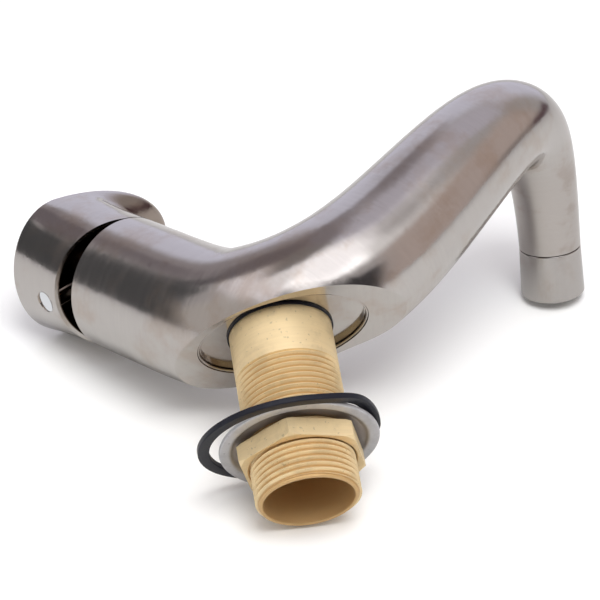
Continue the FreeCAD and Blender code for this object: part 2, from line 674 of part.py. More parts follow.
def jets(label, radius, pitch, depth, length):
    """Honeycomb of hexagonal openings, as one tool."""
    cell = Part.Face(Part.makePolygon([Vector(radius * math.cos(k * math.pi / 3 + math.pi / 6),
                                              radius * math.sin(k * math.pi / 3 + math.pi / 6), 0) for k in range(7)]))
    holes = []
    for ring in range(AERATOR_RINGS + 1):
        for k in range(max(1, 6 * ring)):
            side, step = divmod(k, max(1, ring))
            corner = Vector(math.cos(side * math.pi / 3), math.sin(side * math.pi / 3), 0) * (ring * pitch)
            along = Vector(math.cos((side + 2) * math.pi / 3), math.sin((side + 2) * math.pi / 3), 0) * (step * pitch)
            hole = cell.extrude(Vector(0, 0, length))
            hole.translate(corner + along)
            holes.append(hole)
    return shape(label, Part.makeCompound(holes), on_outlet(depth))


aerator_jets = jets("aerator_jets", size("nozzle_radius"), size("nozzle_pitch"), body_low - 1, value_of(aerator_length) + 2)
screen_jets = jets("screen_jets", size("nozzle_radius") * 0.8, size("nozzle_pitch"), screen_low - 1, 3.0)
aerator = cut("aerator", aerator_blank, aerator_jets)
aerator_screen = cut("aerator_screen", screen_blank, screen_jets)

NODES = [
    body_casting, threaded_shank, base_ring, backnut, metal_washer, fibre_washer, rubber_ring,
    port_seals, cartridge_base, fixed_disc, moving_disc, disc_carrier, cartridge_housing,
    cartridge_nut, stem_rotor, stem_pin, stem, handle_cap, index_plug, grub_screw,
    nozzle_collar, aerator_washer, aerator_screen, aerator,
]

doc.recompute()
for item in doc.Objects:
    if "Invalid" in item.State or "Error" in item.State:
        raise RuntimeError(f"{item.Label} did not build: {item.State}")
os.makedirs("parts", exist_ok=True)
for node in NODES:
    if node.Shape.isNull() or not node.Shape.isValid() or not node.Shape.Solids:
        raise RuntimeError(f"{node.Label} has no valid solid")
    node.Shape.exportStep(f"parts/{node.Label}.step")
    print(node.Label, len(node.Shape.Solids), round(node.Shape.Volume, 1))
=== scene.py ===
"""Basin mixer tap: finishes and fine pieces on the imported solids, and its studio.

Lengths are in metres. The origin is on the shank's axis in the plane of the deck, +Z is up.
"""
import math

import bmesh
import bpy
from mathutils import Matrix, Vector


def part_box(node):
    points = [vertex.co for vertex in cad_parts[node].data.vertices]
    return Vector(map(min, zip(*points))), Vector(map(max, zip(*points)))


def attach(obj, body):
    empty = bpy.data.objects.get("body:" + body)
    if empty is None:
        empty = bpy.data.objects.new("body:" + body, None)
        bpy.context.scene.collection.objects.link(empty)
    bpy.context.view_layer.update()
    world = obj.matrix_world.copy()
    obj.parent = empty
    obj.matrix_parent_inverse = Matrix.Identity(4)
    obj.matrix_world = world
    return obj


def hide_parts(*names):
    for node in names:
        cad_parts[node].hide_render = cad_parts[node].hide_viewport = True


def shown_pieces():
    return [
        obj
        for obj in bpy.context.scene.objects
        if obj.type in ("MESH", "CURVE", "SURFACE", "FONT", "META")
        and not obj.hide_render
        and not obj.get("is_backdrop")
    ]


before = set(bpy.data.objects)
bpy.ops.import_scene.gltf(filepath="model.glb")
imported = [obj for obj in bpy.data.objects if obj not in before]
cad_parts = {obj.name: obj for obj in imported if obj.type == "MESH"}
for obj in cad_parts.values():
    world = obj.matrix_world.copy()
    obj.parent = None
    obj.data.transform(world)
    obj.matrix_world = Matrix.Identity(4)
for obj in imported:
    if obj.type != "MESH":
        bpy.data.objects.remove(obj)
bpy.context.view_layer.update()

bl_info = {
    "name": "Basin Mixer Tap",
    "version": (1, 0, 0),
    "blender": (4, 5, 0),
    "location": "3D View > Sidebar > Tap",
    "description": "Builds the finishes and fine pieces of a basin mixer tap on its packed solids",
    "category": "Add Mesh",
}

MM = 0.001
ORIGIN = (0.0, 0.0, 0.0)
UP = (0.0, 0.0, 1.0)

# Directions of the tube: the control arm, the lever, the rising spout and the outlet
ARM = Vector((0.57449, -0.432909, 0.694658))
LEVER = Vector((-0.811824, -0.193104, 0.551046))
SPOUT = Vector((-0.735, 0.01, 0.678)).normalized()
OUTLET = Vector((0.0, -math.cos(math.radians(33.3)), -math.sin(math.radians(33.3))))
# Middle of the arm's rim, and of the seam between the spout and its collar
RIM_CENTRE = Vector((46.9, -30.4, 49.0)) * MM
OUTLET_SEAM = Vector((-101.1, -50.6, 54.0)) * MM

# Lever cap: heights stand along the arm, from its rim
CAP_SKIRT = 23.0 * MM
CAP_BORE = 21.7 * MM
CAP_FOOT = 7.0 * MM
CAP_TOP = 33.0 * MM
CAP_TIP = 34.0 * MM
CAP_FALL = math.radians(5.3)
VISOR_TURN = math.radians(10.0)

# The shank's bore, the washers' bore, and the nut's width across flats and its turn
SHANK_BORE = 14.3 * MM
WASHER_BORE = 16.9 * MM
NUT_FLATS = 36.4 * MM
NUT_TURN = math.radians(-10.0)

# The loose rubber ring as it lies, tilted and off the shank's axis
RING_CENTRE = Vector((2.92, 1.85, -38.79)) * MM
RING_UP = Vector((0.036, 0.118, 1.0)).normalized()
RING_INNER, RING_OUTER, RING_THICK = 25.2 * MM, 28.9 * MM, 1.9 * MM

# Directions of the room: up, and ahead and right as the camera sees them
FLOOR_UP = Vector((-0.123, 0.913, 0.388)).normalized()
CAMERA_RIGHT = Vector((-0.988624, -0.027104, -0.147945))
CAMERA_DOWN = Vector((0.138877, -0.542203, -0.828691))
CAMERA_AHEAD = Vector((-0.057755, -0.839810, 0.539799))
CAMERA_PLACE = Vector((38.856, 682.151, -425.339)) * MM
AHEAD = (CAMERA_AHEAD - FLOOR_UP * CAMERA_AHEAD.dot(FLOOR_UP)).normalized()
RIGHT = AHEAD.cross(FLOOR_UP)
# The floor itself is tilted a little to touch the outlet collar, the washer and the lever cap
FLOOR_TOUCH = Vector((-0.050, 0.916, 0.397)).normalized()


class TapSizes(bpy.types.PropertyGroup):
    """Sizes of the fine pieces."""

    thread_pitch: bpy.props.FloatProperty(
        name="Thread pitch", description="Distance between two crests of the shank's thread",
        default=2.0 * MM, unit="LENGTH")
    thread_depth: bpy.props.FloatProperty(
        name="Thread depth", description="From crest to root of the shank's thread",
        default=1.0 * MM, unit="LENGTH")
    thread_start: bpy.props.FloatProperty(
        name="Plain length", description="Plain part of the shank below the deck plane",
        default=14.7 * MM, unit="LENGTH")
    washer_roll: bpy.props.FloatProperty(
        name="Washer roll", description="Rounding of the clamping washer's rim",
        default=0.7 * MM, unit="LENGTH")
    nut_edge: bpy.props.FloatProperty(
        name="Nut edge", description="Width of the broken edges of the backnut",
        default=0.35 * MM, unit="LENGTH")
    collar_edge: bpy.props.FloatProperty(
        name="Collar edge", description="Chamfer at the end of the outlet collar",
        default=0.7 * MM, unit="LENGTH")
    bead: bpy.props.FloatProperty(
        name="Bead", description="Thickness of the polished bead round the recess in the base",
        default=0.9 * MM, unit="LENGTH")
    cap_edge: bpy.props.FloatProperty(
        name="Cap edge", description="Rounding of the lever cap's edges",
        default=0.8 * MM, unit="LENGTH")
    visor_start: bpy.props.FloatProperty(
        name="Visor start",
        description="Share of the skirt's height at which the visor starts to leave it",
        default=0.58, min=0.0, max=0.9, subtype="FACTOR")
    ring_lift: bpy.props.FloatProperty(
        name="Ring lift",
        description="How far the washer's rim holds up the loose rubber ring that crosses it",
        default=1.6 * MM, unit="LENGTH")
    ring_edge: bpy.props.FloatProperty(
        name="Ring edge", description="Rounding of the rubber ring's edges",
        default=0.4 * MM, unit="LENGTH")


class TapFinish(bpy.types.PropertyGroup):
    """Colours of the finishes, as seen under plain light."""

    nickel: bpy.props.FloatVectorProperty(
        name="Satin nickel", description="Colour of the brushed nickel", subtype="COLOR", size=3,
        default=(0.545, 0.515, 0.485), min=0, max=1)
    brass: bpy.props.FloatVectorProperty(
        name="Brass", description="Colour of the machined brass", subtype="COLOR", size=3,
        default=(0.85, 0.675, 0.39), min=0, max=1)
    steel: bpy.props.FloatVectorProperty(
        name="Steel", description="Colour of the pressed washer", subtype="COLOR", size=3,
        default=(0.64, 0.64, 0.655), min=0, max=1)
    rubber: bpy.props.FloatVectorProperty(
        name="Rubber", description="Colour of the black rubber", subtype="COLOR", size=3,
        default=(0.012, 0.013, 0.02), min=0, max=1)
    acetal: bpy.props.FloatVectorProperty(
        name="Acetal", description="Colour of the moulded cartridge", subtype="COLOR", size=3,
        default=(0.72, 0.72, 0.70), min=0, max=1)
    floor: bpy.props.FloatVectorProperty(
        name="Floor", description="Colour of the floor", subtype="COLOR", size=3,
        default=(0.975, 0.985, 0.965), min=0, max=1)


def sizes():
    """Sizes of the fine pieces."""
    return bpy.context.scene.tap_sizes


def colour(name):
    """One colour of the finishes with full alpha."""
    return (*getattr(bpy.context.scene.tap_finish, name), 1.0)


def toned(tone, share):
    """A colour made darker or lighter, with no channel past one."""
    return (*(min(1.0, channel * share) for channel in tone[:3]), 1.0)


class Nodes:
    """Short calls that add and join nodes of one tree."""

    def __init__(self, tree):
        self.tree = tree

    def add(self, kind, *inputs, **settings):
        """Adds a node; inputs are values or sockets, in the order of its own."""
        node = self.tree.nodes.new("ShaderNode" + kind)
        for name, value in settings.items():
            setattr(node, name, value)
        for socket, value in zip([s for s in node.inputs if s.enabled], inputs):
            self.put(socket, value)
        return node

    def put(self, socket, value):
        """Sets an input to a value or joins it to an output."""
        if isinstance(value, bpy.types.NodeSocket):
            self.tree.links.new(value, socket)
        else:
            socket.default_value = value

    def fill(self, node, **values):
        """Fills named inputs; an underscore stands for a space."""
        for name, value in values.items():
            self.put(node.inputs[name.replace("_", " ")], value)
        return node

    def add_plain(self, kind):
        """Adds a node by its full name."""
        return self.tree.nodes.new(kind)

    def math(self, operation, *inputs):
        """Result of a Math node."""
        return self.add("Math", *inputs, operation=operation).outputs[0]

    def product(self, first, *others):
        """Product of two or more values."""
        for other in others:
            first = self.math("MULTIPLY", first, other)
        return first

    def vector(self, operation, *inputs):
        """Result of a Vector Math node that gives a vector."""
        return self.add("VectorMath", *inputs, operation=operation).outputs["Vector"]

    def along(self, place, way):
        """How far a place lies along a direction."""
        node = self.add("VectorMath", place, tuple(way), operation="DOT_PRODUCT")
        return node.outputs["Value"]

    def ramp(self, value, low, high, to_low=0.0, to_high=1.0):
        """Smooth step from one value to another."""
        node = self.add("MapRange", interpolation_type="SMOOTHSTEP")
        self.fill(node, Value=value, From_Min=low, From_Max=high, To_Min=to_low, To_Max=to_high)
        return node.outputs[0]

    def fall(self, value, low, high):
        """Smooth step from one down to nought."""
        return self.ramp(value, low, high, 1.0, 0.0)

    def mix(self, share, first, second):
        """Mix of two colours."""
        node = self.add("Mix", data_type="RGBA")
        for index, value in ((0, share), (6, first), (7, second)):
            self.put(node.inputs[index], value)
        return node.outputs[2]

    def blend(self, share, first, second):
        """Mix of two values."""
        node = self.add("Mix", data_type="FLOAT")
        for index, value in ((0, share), (2, first), (3, second)):
            self.put(node.inputs[index], value)
        return node.outputs[0]

    def noise(self, place, scale, detail=3.0, rough=0.5):
        """Noise between about 0.3 and 0.7."""
        node = self.add("TexNoise")
        self.fill(node, Vector=place, Scale=scale, Detail=detail, Roughness=rough)
        return node.outputs["Fac"]


def new_group(name, inputs, outputs):
    """Empty node group with named sockets, and its input and output nodes."""
    group = bpy.data.node_groups.new(name, "ShaderNodeTree")
    for label, kind, default in inputs:
        socket = group.interface.new_socket(label, in_out="INPUT", socket_type=kind)
        if default is not None:
            socket.default_value = default
    for label, kind in outputs:
        group.interface.new_socket(label, in_out="OUTPUT", socket_type=kind)
    nodes = Nodes(group)
    return nodes, nodes.add_plain("NodeGroupInput"), nodes.add_plain("NodeGroupOutput")


def make_brush_group():
    """Fine parallel lines of a brushed or turned surface; the X given runs across the lines."""
    nodes, given, result = new_group(
        "brush_lines",
        [("Vector", "NodeSocketVector", None), ("Lines per metre", "NodeSocketFloat", 3000.0),
         ("Stretch", "NodeSocketFloat", 30.0)],
        [("Lines", "NodeSocketFloat"), ("Streaks", "NodeSocketFloat")])
    place, per_metre, stretch = given.outputs[:3]
    length = nodes.math("DIVIDE", per_metre, stretch)
    scale = nodes.add("CombineXYZ", per_metre, length, length).outputs[0]
    drawn = nodes.vector("MULTIPLY", place, scale)
    nodes.fill(result, Lines=nodes.noise(drawn, 1.0, 4.0, 0.65),
               Streaks=nodes.noise(drawn, 0.16, 3.0, 0.6))


def make_wear_group():
    """Handling marks: broad cloudy stains and sparse short scratches."""
    nodes, given, result = new_group(
        "handling_marks",
        [("Vector", "NodeSocketVector", None), ("Stain size", "NodeSocketFloat", 0.02)],
        [("Stains", "NodeSocketFloat"), ("Scratches", "NodeSocketFloat")])
    place, stain_size = given.outputs[:2]
    clouds = nodes.noise(place, nodes.math("DIVIDE", 1.0, stain_size), 5.0, 0.62)
    warp = nodes.fill(nodes.add("TexNoise"), Vector=place, Scale=60.0)
    cells = nodes.fill(nodes.add("TexVoronoi", feature="DISTANCE_TO_EDGE"),
                       Vector=nodes.vector("ADD", place, warp.outputs["Color"]), Scale=70.0)
    thin = nodes.fall(cells.outputs["Distance"], 0.0, 0.012)
    spots = nodes.ramp(nodes.noise(place, 90.0, 2.0), 0.58, 0.66)
    nodes.fill(result, Stains=nodes.ramp(clouds, 0.46, 0.66), Scratches=nodes.product(thin, spots))


def brush_lines(nodes, place, per_metre):
    """Brush lines on a material: the fine lines and the wider streaks."""
    node = nodes.add_plain("ShaderNodeGroup")
    node.node_tree = bpy.data.node_groups["brush_lines"]
    nodes.fill(node, Vector=place, Lines_per_metre=per_metre, Stretch=40.0)
    return node.outputs["Lines"], node.outputs["Streaks"]


def handling_marks(nodes, place, stain_size):
    """Handling marks on a material: the stains and the scratches."""
    node = nodes.add_plain("ShaderNodeGroup")
    node.node_tree = bpy.data.node_groups["handling_marks"]
    nodes.fill(node, Vector=place, Stain_size=stain_size)
    return node.outputs["Stains"], node.outputs["Scratches"]


def new_material(name):
    """Material with only a Principled shader, and Object coordinates."""
    material = bpy.data.materials.new(name)
    material.use_nodes = True
    material.node_tree.nodes.clear()
    nodes = Nodes(material.node_tree)
    shader = nodes.add("BsdfPrincipled")
    nodes.add("OutputMaterial", shader.outputs[0])
    return material, nodes, shader, nodes.add("TexCoord").outputs["Object"]


def turned_to(nodes, place, way, centre=ORIGIN):
    """Coordinates turned so that their X runs along a direction, from a centre."""
    way = Vector(way).normalized()
    helper = Vector(UP) if abs(way.z) < 0.9 else Vector((1.0, 0.0, 0.0))
    side = way.cross(helper).normalized()
    turn = Matrix((way, side, way.cross(side)))
    node = nodes.fill(nodes.add("Mapping"), Vector=place)
    node.inputs["Location"].default_value = -(turn @ Vector(centre))
    node.inputs["Rotation"].default_value = turn.to_euler()
    return node.outputs[0]


def round_axis(nodes, place, axis, centre=ORIGIN, radius=20 * MM):
    """Coordinates whose lines run round a turned piece, and the distance from its axis."""
    parts = nodes.add("SeparateXYZ", turned_to(nodes, place, axis, centre))
    along, y, z = parts.outputs
    angle = nodes.math("ARCTAN2", y, z)
    reach = nodes.math("SQRT", nodes.math("ADD", nodes.math("POWER", y, 2.0),
                                          nodes.math("POWER", z, 2.0)))
    ring = nodes.add("CombineXYZ", along, nodes.product(nodes.math("SINE", angle), radius),
                     nodes.product(nodes.math("COSINE", angle), radius))
    return ring.outputs[0], reach


def bump(nodes, shader, height, distance):
    """Bump of a height in metres for a height of one."""
    node = nodes.fill(nodes.add("Bump"), Height=height)
    node.inputs["Strength"].default_value = 1.0
    node.inputs["Distance"].default_value = distance
    nodes.fill(shader, Normal=node.outputs["Normal"])


def paint(material, *names):
    """Puts a material in the slots of CAD nodes."""
    for name in names:
        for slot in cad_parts[name].material_slots:
            slot.material = material


def near_arm(nodes, place):
    """One round the control arm, nought at the spout."""
    return nodes.ramp(nodes.add("SeparateXYZ", place).outputs[0], -12 * MM, 14 * MM)


def near_outlet(nodes, place):
    """One in the down-turned end of the spout, nought at the arm, which also faces the user."""
    parts = nodes.add("SeparateXYZ", place)
    return nodes.product(nodes.ramp(parts.outputs[0], -60 * MM, -80 * MM),
                         nodes.ramp(parts.outputs[1], -4 * MM, -24 * MM))


def darker_outlet_tone(nodes, place, stains, tone):
    """Darker and browner down-turned end of the spout, more so where it is stained."""
    darker_share = nodes.product(near_outlet(nodes, place), nodes.ramp(stains, 0.0, 0.6, 0.45, 1.0), 0.85)
    return nodes.mix(darker_share, tone, (0.41, 0.365, 0.33, 1.0))


def cap_shades(nodes, place, stains, tone):
    """Painted shade inside the lever cap, and painted shade and reflection on the underside of its
    visor.
    """
    _, reach = round_axis(nodes, place, ARM, RIM_CENTRE)
    height = nodes.along(nodes.vector("SUBTRACT", place, tuple(RIM_CENTRE)), ARM)
    # Painted shade: the inside of the cap, seen through the gap at the arm's rim, is darkened to
    # near black where shade falls.
    inside = nodes.product(nodes.fall(reach, CAP_BORE, CAP_BORE + 0.3 * MM),
                           nodes.fall(height, 17.5 * MM, 18.0 * MM))
    tone = nodes.mix(inside, tone, (0.035, 0.022, 0.016, 1.0))
    # Painted shade and reflection: the visor's underside is painted darker and browner for the arm
    # and the floor's shadow it faces.
    facing = nodes.along(nodes.add("TexCoord").outputs["Normal"], ARM)
    under = nodes.product(nodes.fall(facing, -0.62, -0.30), nodes.ramp(height, 8 * MM, 12 * MM))
    return nodes.mix(under, tone, (0.34, 0.285, 0.24, 1.0))


def nickel_material(name, ways, roughness=0.14, shade=1.0, own_shades=None):
    """Brushed satin nickel; each way is a direction across the lines and its share by place."""
    material, nodes, shader, place = new_material(name)
    lines = streaks = None
    for way, share in ways:
        own_lines, own_streaks = brush_lines(nodes, turned_to(nodes, place, way), 6500.0)
        if share is None:
            lines, streaks = own_lines, own_streaks
            continue
        mask = share(nodes, place)
        lines = nodes.blend(mask, lines, own_lines)
        streaks = nodes.blend(mask, streaks, own_streaks)
    stains, scratches = handling_marks(nodes, place, 0.018)
    base = toned(colour("nickel"), shade)
    warm = (base[0] * 0.88, base[1] * 0.79, base[2] * 0.71, 1.0)
    tone = nodes.mix(nodes.product(stains, 0.65), base, warm)
    tone = nodes.mix(nodes.ramp(streaks, 0.35, 0.65, 0.0, 0.05), tone, (0.30, 0.29, 0.29, 1.0))
    tone = nodes.mix(nodes.ramp(lines, 0.3, 0.7, 0.0, 0.10), tone, (0.25, 0.24, 0.25, 1.0))
    tone = nodes.mix(nodes.product(scratches, 0.35), tone, (0.28, 0.21, 0.15, 1.0))
    if own_shades:
        tone = own_shades(nodes, place, stains, tone)
    rough = nodes.ramp(streaks, 0.3, 0.7, roughness - 0.015, roughness + 0.02)
    rough = nodes.math("ADD", rough, nodes.product(stains, 0.06))
    nodes.fill(shader, Base_Color=tone, Metallic=1.0, Roughness=rough)
    bump(nodes, shader, lines, 0.005 * MM)
    return material


def turned_metal(name, tone, axis=UP, centre=ORIGIN, roughness=0.24, depth=0.012, dark=0.35,
                 stained=0.4, metallic=1.0, root=None):
    """Metal turned on a lathe, with lines round its axis.

    The root is two distances from the axis and the colour of the painted shade on all that lies
    nearer than them, such as thread roots, bores and dished hollows.
    """
    material, nodes, shader, place = new_material(name)
    ring, reach = round_axis(nodes, place, axis, centre)
    lines, streaks = brush_lines(nodes, ring, 4200.0)
    stains, scratches = handling_marks(nodes, place, 0.012)
    spots = nodes.ramp(nodes.noise(place, 700.0, 2.0, 0.5), 0.66, 0.72)
    mixed = tone
    for mask, share in ((nodes.ramp(streaks, 0.35, 0.7, 0.0, 0.25), dark),
                        (nodes.ramp(lines, 0.3, 0.7, 0.0, 0.18), dark),
                        (nodes.product(stains, stained), 0.62),
                        (nodes.product(scratches, 0.45), 1.25),
                        (nodes.product(spots, stained), 0.4)):
        mixed = nodes.mix(mask, mixed, toned(tone, share))
    if root:
        # Painted shade: all that lies nearer the axis than the root is darkened, for the shade in
        # thread roots, bores and dishes.
        low, high, root_shade = root
        mixed = nodes.mix(nodes.fall(reach, low, high), mixed, root_shade)
    rough = nodes.ramp(streaks, 0.3, 0.7, roughness - 0.04, roughness + 0.08)
    rough = nodes.math("ADD", rough, nodes.product(stains, 0.12))
    nodes.fill(shader, Base_Color=mixed, Metallic=metallic, Roughness=rough)
    bump(nodes, shader, lines, depth * MM)
    return material


def moulded_material(name, tone, roughness, grain=9000.0, depth=0.004, gloss=0.5):
    """Moulded plastic, rubber or ceramic with a fine grain and uneven gloss."""
    material, nodes, shader, place = new_material(name)
    stains, _ = handling_marks(nodes, place, 0.01)
    fine = nodes.noise(place, grain, 2.0, 0.6)
    light = (*(min(1.0, channel * 1.5 + 0.01) for channel in tone[:3]), 1.0)
    rough = nodes.ramp(fine, 0.3, 0.7, roughness - 0.06, roughness + 0.06)
    rough = nodes.math("ADD", rough, nodes.product(stains, 0.08))
    nodes.fill(shader, Base_Color=nodes.mix(nodes.product(stains, 0.35), tone, light),
               Roughness=rough, Specular_IOR_Level=gloss)
    bump(nodes, shader, fine, depth * MM)
    return material


class TAP_OT_finishes(bpy.types.Operator):
    """Makes the materials and gives them to the solids"""

    bl_idname = "tap.finishes"
    bl_label = "Finishes"

    def execute(self, context):
        make_brush_group()
        make_wear_group()
        paint(nickel_material("brushed_nickel_body", [
            (SPOUT, None), (ARM, near_arm), (OUTLET, near_outlet)], own_shades=darker_outlet_tone),
            "body_casting")
        paint(nickel_material("brushed_nickel_cap", [(ARM, None)], 0.12, own_shades=cap_shades),
              "handle_cap")
        paint(nickel_material("brushed_nickel_collar", [((1.0, 0.0, 0.0), None)], 0.22, 0.92),
              "nozzle_collar")
        # Painted shade: the thread's roots and the bore are darkened to a deep brass tone through
        # the root setting.
        paint(turned_metal(
            "turned_brass", toned(colour("brass"), 1.1), roughness=0.44, depth=0.004, dark=0.8,
            metallic=0.45, root=(15.5 * MM, 16.2 * MM, (0.66, 0.44, 0.20, 1.0))),
            "threaded_shank")
        paint(turned_metal(
            "milled_brass", toned(colour("brass"), 1.12), roughness=0.44, depth=0.003, dark=0.8,
            metallic=0.5), "backnut")
        paint(turned_metal("cartridge_brass", (0.42, 0.24, 0.10, 1.0), ARM, RIM_CENTRE),
              "cartridge_nut", "stem")
        # Painted shade: the washer's dish round the nut is darkened through the root setting, where
        # shade falls.
        paint(turned_metal(
            "pressed_steel", colour("steel"), roughness=0.48, depth=0.004, dark=0.7, stained=0.35,
            metallic=0.7, root=(20.3 * MM, 22.4 * MM, (0.33, 0.30, 0.28, 1.0))),
            "metal_washer", "aerator_screen")
        paint(turned_metal("bright_steel", (0.62, 0.62, 0.62, 1.0), ARM, RIM_CENTRE,
                           roughness=0.16, depth=0.002), "stem_pin", "grub_screw")
        paint(turned_metal("plug_chrome", (0.80, 0.82, 0.84, 1.0), LEVER, RIM_CENTRE,
                           roughness=0.10, depth=0.001, dark=0.8, stained=0.1), "index_plug")
        paint(moulded_material("black_rubber", colour("rubber"), 0.36, gloss=0.22),
              "rubber_ring", "base_ring", "port_seals", "aerator_washer")
        paint(moulded_material("dark_fibre", (0.035, 0.032, 0.038, 1.0), 0.7, 4000.0, 0.02),
              "fibre_washer")
        # Painted shade: the cartridge housing, seen only through the gap under the lever cap, is
        # coloured near black for the shade there.
        paint(moulded_material("acetal_painted_shade", (0.02, 0.017, 0.015, 1.0), 0.4),
              "cartridge_housing")
        paint(moulded_material("moulded_acetal", colour("acetal"), 0.38),
              "cartridge_base", "stem_rotor", "disc_carrier", "aerator")
        paint(moulded_material("lapped_ceramic", (0.80, 0.78, 0.74, 1.0), 0.16, 20000.0, 0.001),
              "fixed_disc", "moving_disc")
        return {"FINISHED"}


def finish_mesh(name, mesh, material, body, slot, *nodes, sharp=30.0):
    """Makes a bmesh into a piece that rides on a body and stands for CAD nodes."""
    bmesh.ops.remove_doubles(mesh, verts=mesh.verts, dist=0.2e-6)
    bmesh.ops.recalc_face_normals(mesh, faces=mesh.faces)
    for face in mesh.faces:
        face.smooth = True
    data = bpy.data.meshes.new(name)
    mesh.to_mesh(data)
    mesh.free()
    data.materials.append(bpy.data.materials[material])
    data.set_sharp_from_angle(angle=math.radians(sharp))
    piece = bpy.data.objects.new(name, data)
    bpy.context.scene.collection.objects.link(piece)
    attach(piece, body)
    if nodes:
        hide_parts(*nodes)
    return piece


def lathe(mesh, outline, centre=ORIGIN, axis=UP, steps=128):
    """Spins a closed outline of (radius, height) once round an axis."""
    axis = Vector(axis).normalized()
    side = axis.orthogonal().normalized()
    verts = [mesh.verts.new(Vector(centre) + side * r + axis * h) for r, h in outline]
    edges = [mesh.edges.new(pair) for pair in zip(verts, verts[1:] + verts[:1])]
    bmesh.ops.spin(mesh, geom=verts + edges, cent=Vector(centre), axis=axis, angle=math.tau,
                   steps=steps, use_merge=True)


def cut_plane(mesh, point, normal, **settings):
    """Cuts a whole mesh by a plane."""
    return bmesh.ops.bisect_plane(mesh, geom=mesh.verts[:] + mesh.edges[:] + mesh.faces[:],
                                  plane_co=point, plane_no=normal, **settings)


def bevel_edges(mesh, edges, offset, segments):
    """Rounds or breaks some edges."""
    bmesh.ops.bevel(mesh, geom=edges, offset=offset, segments=segments, profile=0.5,
                    affect="EDGES", material=-1, clamp_overlap=True)


def step_between(value, low, high):
    """Smooth step from nought at low to one at high."""
    share = min(1.0, max(0.0, (value - low) / (high - low)))
    return share * share * (3.0 - 2.0 * share)


def hump(angle, middle, spread):
    """One at an angle in degrees, and less to both sides of it."""
    return math.exp(-((angle - middle) / spread) ** 2)


def rounded(outline, radius, segments=4):
    """Outline of (radius, height) with its corners rounded; a corner may give its own radius."""
    points = []
    count = len(outline)
    for i, corner in enumerate(outline):
        here = Vector(corner[:2])
        own = corner[2] if len(corner) > 2 else radius
        back = Vector(outline[i - 1][:2]) - here
        ahead = Vector(outline[(i + 1) % count][:2]) - here
        reach = min(own, back.length * 0.49, ahead.length * 0.49)
        if reach < 1e-7:
            points.append(tuple(here))
            continue
        start, end = here + back.normalized() * reach, here + ahead.normalized() * reach
        for k in range(segments + 1):
            t = k / segments
            points.append(tuple(start * (1 - t) ** 2 + here * (2 * t * (1 - t)) + end * t ** 2))
    return points


def common_part(name, first, second):
    """What two closed bmeshes have in common, as a new bmesh."""
    objects = []
    for label, mesh in ((name, first), (name + "_tool", second)):
        data = bpy.data.meshes.new(label)
        mesh.to_mesh(data)
        mesh.free()
        made = bpy.data.objects.new(label, data)
        bpy.context.scene.collection.objects.link(made)
        objects.append(made)
    piece, tool = objects
    step = piece.modifiers.new("common", "BOOLEAN")
    step.operation, step.object, step.solver = "INTERSECT", tool, "EXACT"
    bpy.context.view_layer.update()
    result = bpy.data.meshes.new_from_object(
        piece.evaluated_get(bpy.context.evaluated_depsgraph_get()))
    mesh = bmesh.new()
    mesh.from_mesh(result)
    used = [made.data for made in objects] + [result]
    for made in objects:
        bpy.data.objects.remove(made)
    for data in used:
        bpy.data.meshes.remove(data)
    return mesh


class TAP_OT_cap(bpy.types.Operator):
    """Lever cap: an upright skirt, a visor hollowed out under the top, and a rounded top edge"""

    bl_idname = "tap.cap"
    bl_label = "Lever cap"

    def execute(self, context):
        self.ahead = LEVER * math.cos(VISOR_TURN) + ARM.cross(LEVER) * math.sin(VISOR_TURN)
        mesh = bmesh.new()
        mesh.from_mesh(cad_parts["handle_cap"].data)
        bmesh.ops.remove_doubles(mesh, verts=mesh.verts, dist=1e-6)
        levels = 25
        for k in range(1, levels):
            height = CAP_FOOT + (CAP_TOP - CAP_FOOT) * (k / levels) ** 0.7
            cut_plane(mesh, RIM_CENTRE + ARM * height, ARM, dist=1e-7)
        for vert in mesh.verts:
            self.hollow(vert)
        self.round_top(mesh)
        finish_mesh("lever_cap", mesh, "brushed_nickel_cap", "lever", "satin_nickel", "handle_cap",
                    sharp=28.0)
        return {"FINISHED"}

    def top_height(self, along):
        """Height of the sloping top at a distance ahead of the cap's axis."""
        return CAP_TOP - math.tan(CAP_FALL) * (along + CAP_SKIRT)

    def hollow(self, vert):
        """Moves a point of the visor in, so that the visor leaves the skirt in a hollow curve."""
        across = ARM.cross(self.ahead)
        away = vert.co - RIM_CENTRE
        height, x, y = away.dot(ARM), away.dot(self.ahead), away.dot(across)
        radius = math.hypot(x, y)
        if radius < CAP_SKIRT + 0.05 * MM or height < CAP_FOOT:
            return
        rise = CAP_TIP - CAP_FOOT
        share = (height - CAP_FOOT) / rise
        full = CAP_SKIRT + (radius - CAP_SKIRT) / share
        top = (self.top_height(full * x / radius * share) - CAP_FOOT) / rise
        top = min(1.0, max(top, share))
        edge = CAP_SKIRT + (full - CAP_SKIRT) * top
        part = share / top
        hollowed = step_between(full - CAP_SKIRT, 1.2 * MM, 4.0 * MM)
        flare = part * (1.0 - hollowed) + step_between(part, sizes().visor_start, 1.0) * hollowed
        new = CAP_SKIRT + (edge - CAP_SKIRT) * flare
        vert.co = RIM_CENTRE + ARM * height + (self.ahead * x + across * y) * (new / radius)

    def round_top(self, mesh):
        """Clears the cuts from the top face and rounds its edge."""
        marked = set()
        for vert in mesh.verts:
            away = vert.co - RIM_CENTRE
            if abs(away.dot(ARM) - self.top_height(away.dot(self.ahead))) < 0.03 * MM:
                marked.add(vert)
        top = [e for e in mesh.edges if e.verts[0] in marked and e.verts[1] in marked]
        flat = [e for e in top if e.calc_face_angle(1.0) < 0.02]
        bmesh.ops.dissolve_edges(mesh, edges=flat, use_verts=False)
        rim = [e for e in mesh.edges
               if len(e.link_faces) == 2 and e.verts[0] in marked and e.verts[1] in marked
               and e.calc_face_angle(0.0) > math.radians(25)]
        bevel_edges(mesh, rim, sizes().cap_edge, 4)


